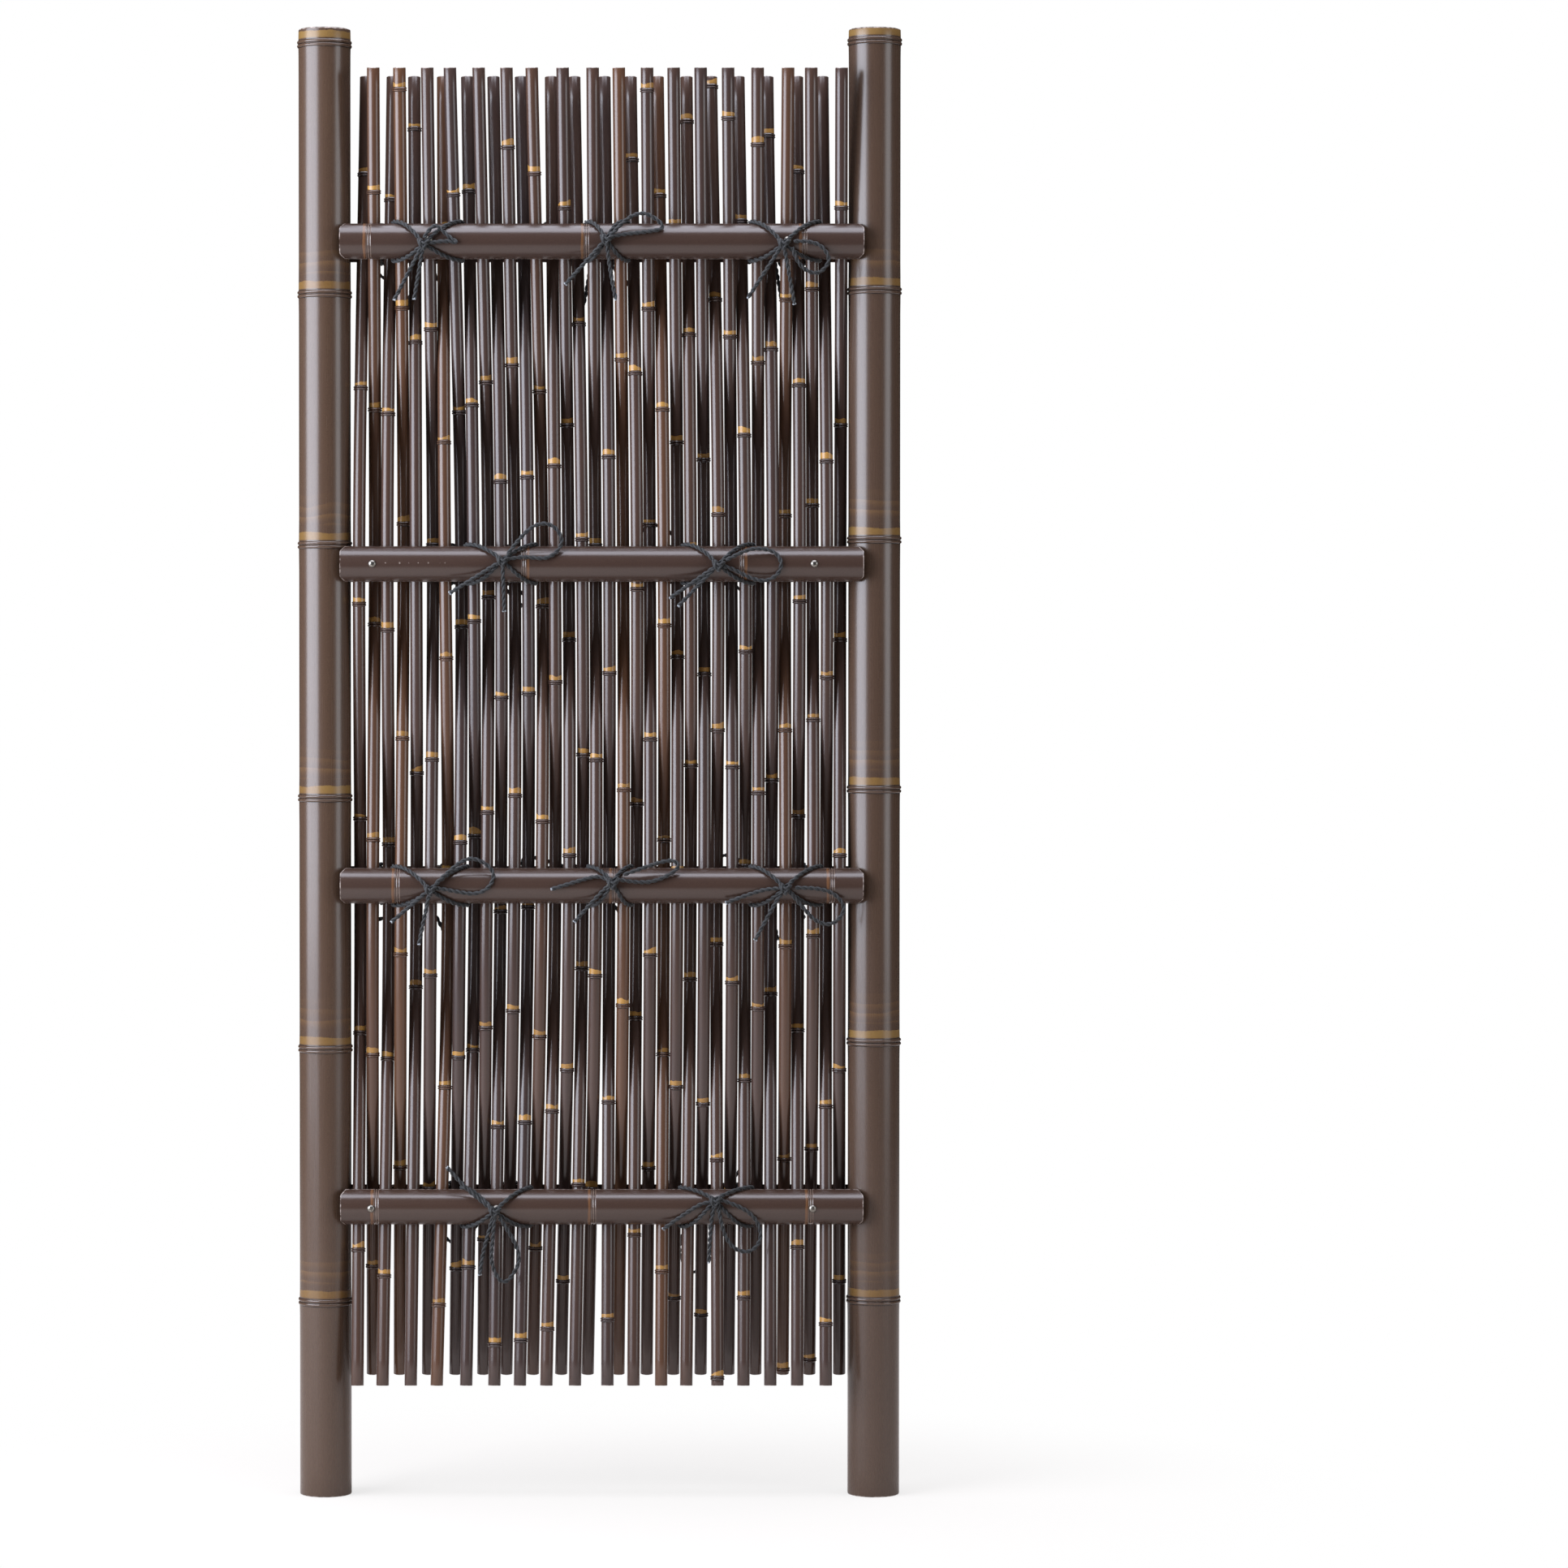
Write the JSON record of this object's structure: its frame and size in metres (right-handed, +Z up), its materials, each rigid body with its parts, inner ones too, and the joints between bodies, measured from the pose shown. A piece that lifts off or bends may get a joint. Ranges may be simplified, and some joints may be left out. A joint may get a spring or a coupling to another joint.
{
  "type": "artificial bamboo fence panel",
  "caption": "Two-sided woven fence panel: slim dark canes in front of and behind hidden bars, half-round rails tied with black cord, two round posts.",
  "frame": {"origin": "on the ground, midway between the two posts, in the plane of the inner bars", "axes": "+Z up, +X along the panel to the right as seen from the front, the front faces -Y"},
  "size_m": [0.699, 0.1184, 1.7],
  "materials": {
    "posts": "satin",
    "caps": "matt",
    "rails": "satin",
    "canes": "satin",
    "inner_bars": "mill",
    "ties": "twisted cord"
  },
  "bodies": {
    "root": {"post_left": "posts", "post_right": "posts", "post_caps": "caps", "inner_bar_1": "inner_bars", "front_rail_1": "rails", "back_rail_1": "rails", "ties_1": "ties", "inner_bar_2": "inner_bars", "front_rail_2": "rails", "back_rail_2": "rails", "ties_2": "ties", "inner_bar_3": "inner_bars", "front_rail_3": "rails", "back_rail_3": "rails", "ties_3": "ties", "inner_bar_4": "inner_bars", "front_rail_4": "rails", "back_rail_4": "rails", "ties_4": "ties", "cane_01": "canes", "cane_02": "canes", "cane_03": "canes", "cane_04": "canes", "cane_05": "canes", "cane_06": "canes", "cane_07": "canes", "cane_08": "canes", "cane_09": "canes", "cane_10": "canes", "cane_11": "canes", "cane_12": "canes", "cane_13": "canes", "cane_14": "canes", "cane_15": "canes", "cane_16": "canes", "cane_17": "canes", "cane_18": "canes", "cane_19": "canes", "cane_20": "canes", "cane_21": "canes", "cane_22": "canes", "cane_23": "canes", "cane_24": "canes", "cane_25": "canes", "cane_26": "canes", "cane_27": "canes", "cane_28": "canes", "cane_29": "canes", "cane_30": "canes", "cane_31": "canes", "cane_32": "canes", "cane_33": "canes", "cane_34": "canes", "cane_35": "canes", "cane_36": "canes"}
  },
  "joints": []
}
